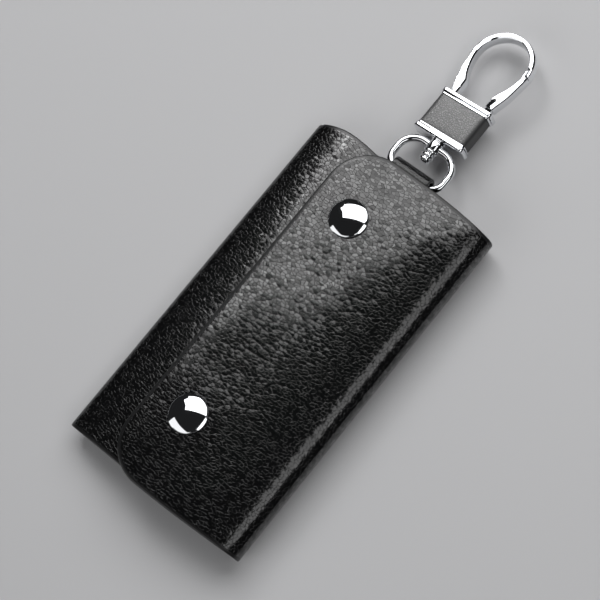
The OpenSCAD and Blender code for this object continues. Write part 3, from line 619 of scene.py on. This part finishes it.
# Strap folded round the ring and riveted inside the back, in millimetres.
# entry and exit are points before and after the turn, above the strap's face
strapForm = {
    "width": 14.0, "thick": 1.15, "start": 49.0, "base": 1.6, "ringY": 62.9, "ringZ": 6.25,
    "bore": 1.9, "turn": (-72, 147), "turnSteps": 40, "lineSteps": 90,
    "entry": ((56.0, 0.0), (57.5, 0.05)),
    "exit": ((60.25, 2.6), (59.1, 0.95), (57.9, 0.2), (56.8, 0.0)),
    "halfLength": 7.0, "step": 0.5, "rimInsets": (0.0, 0.04, 0.14, 0.32, 0.6, 1.0),
    "skive": 0.1, "skiveWidth": 1.0, "rubs": ((64.0, 3.0),),
}


def buildStrap(form):
    thick, base = form["thick"], form["base"]
    top = base + 2 * thick
    line = [(form["start"], base)] + [(y, base + z) for y, z in form["entry"]]
    line += arcPoints(form["ringY"], form["ringZ"], form["bore"] + thick, *form["turn"],
                      form["turnSteps"])
    line += [(y, top + z) for y, z in form["exit"]] + [(form["start"], top)]
    total, steps = pathLength(line), form["lineSteps"]
    smooth = resample(line, [total * i / steps for i in range(steps + 1)])
    sheet = {"side": 1, "ends": lambda x, s: (form["width"] / 2, form["width"] / 2),
             "corner": 0.0, "wave": None, "plane": "yz"}
    strap = buildSheet("ringStrap", smooth, sheet, 0.0, thick, 0.0, form)
    finishPiece(strap, "grain_leather")
    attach(strap, "back")
    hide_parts("ring_tab")


buildStrap(strapForm)

# Leather sleeve round the hook's core, in millimetres. The hook is turned
# about its axis. flank is the part beside the sleeve's narrow sides that keeps the leather's
# black, while the broad faces are coloured grey as a painted sheen
sleeveForm = {
    "start": 78.8, "length": 11.0, "width": 18.2, "deep": 6.0, "wall": 0.6, "corner": 1.5,
    "turn": 10.0, "axisZ": 6.25, "crown": 0.12, "crownPower": 4, "rim": 0.22, "rimShare": 0.3,
    "steps": 20, "cornerSteps": 8, "ringPoints": 96, "flank": 1.3, "flankFade": 0.5,
    "sharpAngle": 50,
}


def roundedRing(form, inset):
    corner = form["corner"] - inset
    points = []
    for cx, cz, first in ((1, 1, 0), (-1, 1, 90), (-1, -1, 180), (1, -1, 270)):
        for i in range(form["cornerSteps"] + 1):
            a = math.radians(first + 90 * i / form["cornerSteps"])
            points.append((cx * ((form["width"] - 2 * inset) / 2 - corner) + corner * math.cos(a),
                           cz * ((form["deep"] - 2 * inset) / 2 - corner) + corner * math.sin(a)))
    closed = points + points[:1]
    total, count = pathLength(closed), form["ringPoints"]
    return resample(closed, [total * i / count for i in range(count)]), total


def buildSleeve(form):
    outer, around = roundedRing(form, 0.0)
    inner, _ = roundedRing(form, form["wall"])
    turn = Matrix.Rotation(math.radians(-form["turn"]), 3, "Y")
    rim, length, steps = form["rim"], form["length"], form["steps"]
    halfWidth, uvLength = form["width"] / 2, sheetForm["uvLength"]
    stations = [0.0, rim * form["rimShare"], rim]
    stations += [rim + (length - 2 * rim) * i / steps for i in range(1, steps)]
    stations += [length - rim, length - rim * form["rimShare"], length]
    # Each ring: its points, its place, how far it is drawn in, its crown, its paint
    rings = []
    for station in stations:
        away = min(station, length - station)
        crown = form["crown"] * math.sin(math.pi * station / length) ** 0.5
        rings.append((outer, station, arcDrop(rim, away), crown, 1.0 if away < rim else 0.0))
    rings += [(inner, station, 0.0, 0.0, 1.0) for station in (length, 0.0)]
    verts, uvs, paint, faces = [], [], [], []
    for points, station, shrink, crown, painted in rings:
        y = form["start"] + station
        for i, (x, z) in enumerate(points):
            swell = crown * max(0.0, 1 - (abs(x) / halfWidth) ** form["crownPower"])
            factor = 1 - shrink / math.hypot(x, z)
            spot = turn @ Vector((x * factor, 0, z * factor + (swell if z > 0 else -swell)))
            verts.append((spot.x * mm, y * mm, (spot.z + form["axisZ"]) * mm))
            uvs.append((around * i / len(points) / uvLength, y / uvLength))
            # The narrow flanks take the dark rim colour, the leather's own black, beside the
            # painted grey sheen of the broad faces
            flank = stepUp(abs(x) - halfWidth + form["flank"], 0.0, form["flankFade"])
            paint.append(max(painted, flank))
    count = len(outer)
    for k in range(len(rings)):
        a, b = k * count, (k + 1) % len(rings) * count
        for i in range(count):
            n = (i + 1) % count
            faces.append((a + i, b + i, b + n, a + n))
    mesh = bpy.data.meshes.new("hookSleeve")
    mesh.from_pydata(verts, [], faces)
    addSheetData(mesh, uvs, {"paint": paint})
    sleeve = finishPiece(closedPiece(mesh, form["sharpAngle"]), "sleeve_leather")
    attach(sleeve, "hook")
    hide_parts("leather_sleeve")


buildSleeve(sleeveForm)
print("strap and sleeve made")

# Metal pieces: the frame's own shape with its edges broken, widths in mm
metalPieces = {
    "hook_body": ("hook", 0.16, "polished_chrome"),
    "gate": ("gate", 0.12, "polished_chrome"),
    "swivel_ring": ("ring", 0.15, "polished_chrome"),
    "upper_snap_cap": ("flap", 0.0, "polished_chrome"),
    "lower_snap_cap": ("flap", 0.0, "polished_chrome"),
    "key_plate": ("back", 0.1, "polished_chrome"),
    "plate_rivets": ("back", 0.12, "nickel_steel"),
    "tab_rivets": ("back", 0.12, "nickel_steel"),
    "hanger_rod": ("back", 0.1, "nickel_steel"),
    "gate_pin": ("hook", 0.05, "nickel_steel"),
}
for end in ("upper", "lower"):
    metalPieces[end + "_snap_socket"] = ("flap", 0.08, "nickel_steel")
    metalPieces[end + "_snap_stud"] = ("inner_leaf", 0.08, "nickel_steel")
    metalPieces[end + "_snap_eyelet"] = ("inner_leaf", 0.08, "nickel_steel")
metalForm = {"weld": 1e-6, "flatAngle": 0.6, "sharpAngle": 38, "segments": 2}

# Grooves cut between the hook's bars and steps, in millimetres
grooveForm = {
    "starts": (77.93, 90.3), "length": 0.36, "width": 17.7, "deep": 5.3, "reach": 24.0,
    "turn": 10.0, "axisZ": 6.25,
}


def makeGrooveCutter(form):
    # Frames round the hook: an inner and an outer rectangle at two places each
    turn = Matrix.Rotation(math.radians(-form["turn"]), 3, "Y")
    verts, faces = [], []
    for start in form["starts"]:
        first = len(verts)
        for y in (start, start + form["length"]):
            for width, deep in ((form["width"], form["deep"]), (form["reach"], form["reach"])):
                for sx, sz in ((1, 1), (-1, 1), (-1, -1), (1, -1)):
                    spot = turn @ Vector((sx * width / 2, 0, sz * deep / 2))
                    verts.append((spot.x * mm, y * mm, (spot.z + form["axisZ"]) * mm))
        for i in range(4):
            a, b = first + i, first + (i + 1) % 4
            faces += [(a, b, b + 4, a + 4), (a + 8, a + 12, b + 12, b + 8),
                      (a, a + 8, b + 8, b), (a + 4, b + 4, b + 12, a + 12)]
    mesh = bpy.data.meshes.new("grooveCutter")
    mesh.from_pydata(verts, [], faces)
    faceOutward(mesh)
    return addObject("grooveCutter", mesh)


def finishMetal(node, body, width, slotName, cutter, form):
    mesh = nodes[node].data.copy()
    work = bmesh.new()
    work.from_mesh(mesh)
    bmesh.ops.remove_doubles(work, verts=work.verts, dist=form["weld"])
    bmesh.ops.dissolve_limit(work, angle_limit=math.radians(form["flatAngle"]),
                             verts=work.verts, edges=work.edges)
    work.to_mesh(mesh)
    work.free()
    piece = addObject(node + "_finish", mesh)
    if cutter:
        cut = piece.modifiers.new("grooves", "BOOLEAN")
        cut.operation = "DIFFERENCE"
        cut.solver = "EXACT"
        cut.object = cutter
    if width:
        bevel = piece.modifiers.new("softEdge", "BEVEL")
        bevel.width = width * mm
        bevel.segments = form["segments"]
        bevel.limit_method = "ANGLE"
        bevel.angle_limit = math.radians(form["sharpAngle"])
        bevel.use_clamp_overlap = True
    if piece.modifiers:
        graph = bpy.context.evaluated_depsgraph_get()
        softened = bpy.data.meshes.new_from_object(piece.evaluated_get(graph))
        piece.modifiers.clear()
        piece.data = softened
    shadeSmooth(piece.data, form["sharpAngle"])
    finishPiece(piece, slotName)
    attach(piece, body)
    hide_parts(node)


grooveCutter = makeGrooveCutter(grooveForm)
for node, settings in metalPieces.items():
    finishMetal(node, *settings, grooveCutter if node == "hook_body" else None, metalForm)
bpy.data.objects.remove(grooveCutter)


def turnedShell(profile, sides, loop):
    # Rings of points round the first axis, joined from one to the next
    verts = [(y, r * math.cos(2 * math.pi * k / sides), r * math.sin(2 * math.pi * k / sides))
             for r, y in profile for k in range(sides)]
    faces = []
    for i in range(len(profile) if loop else len(profile) - 1):
        a, b = i * sides, (i + 1) % len(profile) * sides
        for k in range(sides):
            n = (k + 1) % sides
            faces.append((a + k, a + n, b + n, b + k))
    return verts, faces


# Turned post: its shaft, three ribs and a rounded tip, in millimetres. A rib
# is its middle, its half width and its radius
postForm = {
    "axisZ": 6.25, "sides": 48, "shaft": 1.2, "top": 78.3, "head": 73.0, "tip": 68.5,
    "ribs": ((72.45, 0.5, 2.4), (71.0, 0.5, 2.3), (69.6, 0.48, 2.05)), "neck": 1.5,
    "ribRound": 0.35, "ribSteps": 8, "tipSteps": 6, "weld": 1e-6, "sharpAngle": 38,
}


def buildPost(form):
    neck, ribRound = form["neck"], form["ribRound"]
    profile = [(0.0, form["top"]), (form["shaft"], form["top"]), (form["shaft"], form["head"])]
    for middle, half, radius in form["ribs"]:
        profile.append((neck, middle + half))
        for i in range(form["ribSteps"] + 1):
            a = math.pi * i / form["ribSteps"]
            profile.append((radius - ribRound + ribRound * math.sin(a),
                            middle + half * math.cos(a)))
        profile.append((neck, middle - half))
    lowest = form["ribs"][-1][0] - form["ribs"][-1][1]
    for i in range(1, form["tipSteps"] + 1):
        a = math.radians(90 * i / form["tipSteps"])
        profile.append((neck * math.cos(a), lowest - (lowest - form["tip"]) * math.sin(a)))
    verts, faces = turnedShell(profile, form["sides"], False)
    mesh = bpy.data.meshes.new("turnedPost")
    mesh.from_pydata([(x * mm, y * mm, (z + form["axisZ"]) * mm) for y, x, z in verts], [],
                     faces)
    post = finishPiece(closedPiece(mesh, form["sharpAngle"], form["weld"]), "polished_chrome")
    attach(post, "hook")
    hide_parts("swivel_post")


buildPost(postForm)

# Key clips, in millimetres: a wire swept along its path by Geometry Nodes, and
# an eye on the rod. The path's places are measured from the rod's middle
clipForm = {
    "count": 6, "pitch": 8.4, "rodY": 36.0, "rodZ": 3.05, "loop": 3.05, "wire": 0.75,
    "entry": ((0.0, -0.95), (0.0, -1.45), (-0.3, -1.9), (-0.8, -2.14)), "entryTurn": 108,
    "shoulder": -5.15, "foot": -20.95, "tip": 62,
    "bendSteps": 10, "armSteps": 6, "footSteps": 24,
    "eyeWidth": 3.4, "eyeOuter": 1.4, "bore": 0.75, "eyeRound": 0.15,
    "sides": 20, "eyeSides": 32, "ballSteps": 3, "weld": 1e-6, "sharpAngle": 50,
}


def makeWireTree():
    tree, given, end = newGroup(
        "sweptWire", "GeometryNodeTree",
        [("Path", "NodeSocketGeometry", None), ("Wire Radius", "NodeSocketFloat", None),
         ("Sides", "NodeSocketInt", None), ("Metal", "NodeSocketMaterial", None)],
        [("Wire", "NodeSocketGeometry")])
    curve = newNode(tree, "GeometryNodeMeshToCurve", (-500, 100), {"Mesh": given["Path"]})
    ring = newNode(tree, "GeometryNodeCurvePrimitiveCircle", (-500, -150), {
        "Resolution": given["Sides"], "Radius": given["Wire Radius"]})
    sweep = newNode(tree, "GeometryNodeCurveToMesh", (-250, 0), {
        "Curve": curve.outputs["Curve"], "Profile Curve": ring.outputs["Curve"],
        "Fill Caps": True})
    whole = newNode(tree, "GeometryNodeRealizeInstances", (0, 0), {
        "Geometry": sweep.outputs["Mesh"]})
    dress = newNode(tree, "GeometryNodeSetMaterial", (200, 0), {
        "Geometry": whole.outputs["Geometry"], "Material": given["Metal"]})
    feed(tree, end, {"Wire": dress.outputs["Geometry"]})
    return tree


def clipPath(form):
    # From under the eye round the left shoulder, the foot and the right arm
    loop, shoulder, foot = form["loop"], form["shoulder"], form["foot"]
    arm = [i / form["armSteps"] for i in range(1, form["armSteps"])]
    points = list(form["entry"])
    points += arcPoints(0, shoulder, loop, form["entryTurn"], 180, form["bendSteps"])
    points += [(-loop, shoulder + (foot - shoulder) * share) for share in arm]
    points += arcPoints(0, foot, loop, 180, 360, form["footSteps"])
    points += [(loop, foot + (shoulder - foot) * share) for share in arm]
    return points + arcPoints(0, shoulder, loop, 0, form["tip"], form["bendSteps"])


def sweepWire(spots, tree, form):
    path = bpy.data.meshes.new("clipPath")
    path.from_pydata(spots, [(i, i + 1) for i in range(len(spots) - 1)], [])
    source = addObject("clipPath", path)
    sweep = source.modifiers.new("sweptWire", "NODES")
    sweep.node_group = tree
    values = {"Wire Radius": form["wire"] * mm, "Sides": form["sides"],
              "Metal": finishes["polished_chrome"]}
    sockets = {item.name: item.identifier for item in tree.interface.items_tree
               if item.in_out == "INPUT"}
    for label, value in values.items():
        sweep[sockets[label]] = value
    source.update_tag()
    graph = bpy.context.evaluated_depsgraph_get()
    wire = bpy.data.meshes.new_from_object(source.evaluated_get(graph))
    source.modifiers.clear()
    bpy.data.objects.remove(source)
    return wire


def clipEye(form):
    half, outer, bevel = form["eyeWidth"] / 2, form["eyeOuter"], form["eyeRound"]
    profile = [(form["bore"], -half), (outer - bevel, -half), (outer, -half + bevel),
               (outer, half - bevel), (outer - bevel, half), (form["bore"], half)]
    return turnedShell(profile, form["eyeSides"], True)


def buildClip(number, tree, form):
    x = (number - 1 - (form["count"] - 1) / 2) * form["pitch"]
    spots = [((x + px) * mm, (form["rodY"] + py) * mm, form["rodZ"] * mm)
             for px, py in clipPath(form)]
    wire = sweepWire(spots, tree, form)
    verts = [tuple(v.co) for v in wire.vertices]
    faces = [tuple(polygon.vertices) for polygon in wire.polygons]
    eyeVerts, eyeFaces = clipEye(form)
    faces += [tuple(i + len(verts) for i in face) for face in eyeFaces]
    verts += [((x + a) * mm, (form["rodY"] + b) * mm, (form["rodZ"] + c) * mm)
              for a, b, c in eyeVerts]
    # the wire's free end is a ball
    ball = bmesh.new()
    bmesh.ops.create_icosphere(ball, subdivisions=form["ballSteps"], radius=form["wire"] * mm,
                               matrix=Matrix.Translation(spots[-1]))
    faces += [tuple(v.index + len(verts) for v in face.verts) for face in ball.faces]
    verts += [tuple(v.co) for v in ball.verts]
    ball.free()
    mesh = bpy.data.meshes.new("keyClip%d" % number)
    mesh.from_pydata(verts, [], faces)
    clip = finishPiece(closedPiece(mesh, form["sharpAngle"], form["weld"]), "polished_chrome")
    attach(clip, "clip_%d" % number)
    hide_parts("key_clip_%d" % number)


wireTree = makeWireTree()
for number in range(1, clipForm["count"] + 1):
    buildClip(number, wireTree, clipForm)
print("clips and post made")
for node in ("upper_snap_spring", "lower_snap_spring", "gate_spring"):
    nodes[node].data.materials.clear()
    nodes[node].data.materials.append(finishes["nickel_steel"])
print("metal finished")

# Floor, lamps and world. A lamp is its name, place, aim, two sizes and watts
studio = {
    "floorSize": 4.0, "floorColour": (0.56, 0.56, 0.57), "floorDrop": 0.3,
    "worldColour": (0.95, 0.97, 1.0), "worldLevel": 0.015,
    "lamps": [
        ("keyLamp", (-0.08, 0.444, 0.607), (0.117, 0.022, 0.141), 0.97, 0.60, 4.8),
        ("hookLamp", (-0.70, 0.47, 0.78), (0.0, 0.085, 0.0), 0.34, 0.34, 1.6),
        ("capLamp", (0.62, 0.02, 0.74), (0.0, 0.0, 0.0), 0.80, 0.30, 1.5),
        ("lowLamp", (-0.20, -1.10, 0.62), (0.0, 0.0, 0.0), 1.8, 1.0, 6.5),
    ],
}


def buildFloor(setup):
    mesh = bpy.data.meshes.new("studioFloor")
    half = setup["floorSize"] / 2
    z = -setup["floorDrop"] * mm
    mesh.from_pydata([(-half, -half, z), (half, -half, z), (half, half, z), (-half, half, z)],
                     [], [(0, 1, 2, 3)])
    material, tree, shader = newMaterial("paleFloor")
    feed(tree, shader, {"Base Color": (*setup["floorColour"], 1), "Roughness": 1.0,
                        "Specular IOR Level": 0.0})
    mesh.materials.append(material)
    addObject("studioFloor", mesh)


def buildLights(setup):
    world = bpy.data.worlds.new("studioWorld")
    scene.world = world
    world.use_nodes = True
    feed(world.node_tree, world.node_tree.nodes["Background"], {
        "Color": (*setup["worldColour"], 1), "Strength": setup["worldLevel"]})
    for name, place, aim, width, height, power in setup["lamps"]:
        data = bpy.data.lights.new(name, "AREA")
        data.shape = "RECTANGLE"
        data.size, data.size_y, data.energy = width, height, power
        lamp = addObject(name, data)
        lamp.location = place
        lamp.rotation_euler = (Vector(aim) - Vector(place)).to_track_quat("-Z", "Y").to_euler()


placeCamera(cameraSetup)
buildFloor(studio)
buildLights(studio)
scene.view_settings.view_transform = "Standard"
print("studio made")
